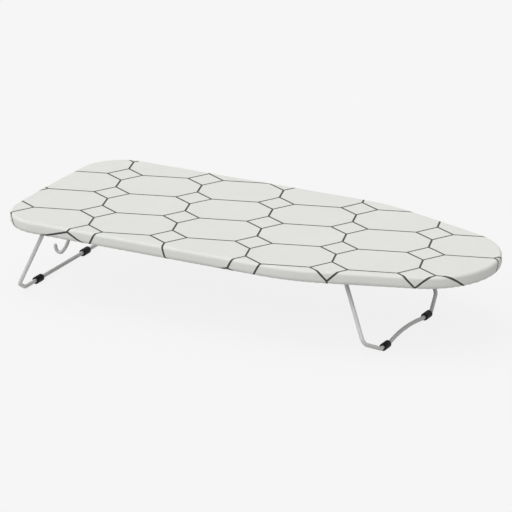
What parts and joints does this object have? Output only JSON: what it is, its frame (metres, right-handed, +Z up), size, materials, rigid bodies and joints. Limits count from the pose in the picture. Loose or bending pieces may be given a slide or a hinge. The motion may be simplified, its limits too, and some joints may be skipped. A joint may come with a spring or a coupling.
{
  "type": "tabletop ironing board",
  "caption": "Low ironing board with a padded, cloth-covered steel deck, a rounded nose, folding wire legs on foot sleeves and a swinging hanging hook.",
  "frame": {"origin": "on the table, under the middle of the board's outline", "axes": "+X towards the rounded nose, +Z up out of the ironing face, +Y across the board to its far side"},
  "size_m": [0.73, 0.32, 0.131],
  "materials": {
    "cover_cloth": "woven cotton with a thin dark line print",
    "foam": "open-cell foam",
    "elastic": "braided elastic",
    "deck_steel": "silver-grey powder coat",
    "leg_wire": "satin silver-grey lacquer on steel wire",
    "rivet_steel": "zinc plated",
    "foot_rubber": "matt black"
  },
  "bodies": {
    "board": {"cover": "cover_cloth", "hem_elastic": "elastic", "foam_pad": "foam", "mesh_deck": "deck_steel", "rim_tube": "deck_steel", "rim_splice": "deck_steel", "tail_rail": "deck_steel", "nose_rail": "deck_steel", "tail_saddle_near": "deck_steel", "tail_saddle_far": "deck_steel", "nose_saddle_near": "deck_steel", "nose_saddle_far": "deck_steel", "tail_rivet_near_outer": "rivet_steel", "tail_rivet_near_inner": "rivet_steel", "tail_rivet_far_outer": "rivet_steel", "tail_rivet_far_inner": "rivet_steel", "nose_rivet_near_outer": "rivet_steel", "nose_rivet_near_inner": "rivet_steel", "nose_rivet_far_outer": "rivet_steel", "nose_rivet_far_inner": "rivet_steel"},
    "tail_leg": {"tail_leg": "leg_wire", "tail_foot_near": "foot_rubber", "tail_foot_far": "foot_rubber"},
    "nose_leg": {"nose_leg": "leg_wire", "nose_foot_near": "foot_rubber", "nose_foot_far": "foot_rubber"},
    "hook": {"hook": "leg_wire"}
  },
  "joints": [
    {"name": "tail_leg_fold", "type": "hinge", "parent": "board", "child": "tail_leg", "pos_m": [-0.2906, 0, 0.115], "axis": [0, -1, 0], "range_deg": [0, 115]},
    {"name": "nose_leg_fold", "type": "hinge", "parent": "board", "child": "nose_leg", "pos_m": [0.1743, 0, 0.115], "axis": [0, 1, 0], "range_deg": [0, 115]},
    {"name": "hook_swing", "type": "hinge", "parent": "board", "child": "hook", "pos_m": [-0.2906, 0, 0.115], "axis": [0, 1, 0], "range_deg": [-115, 48]}
  ]
}
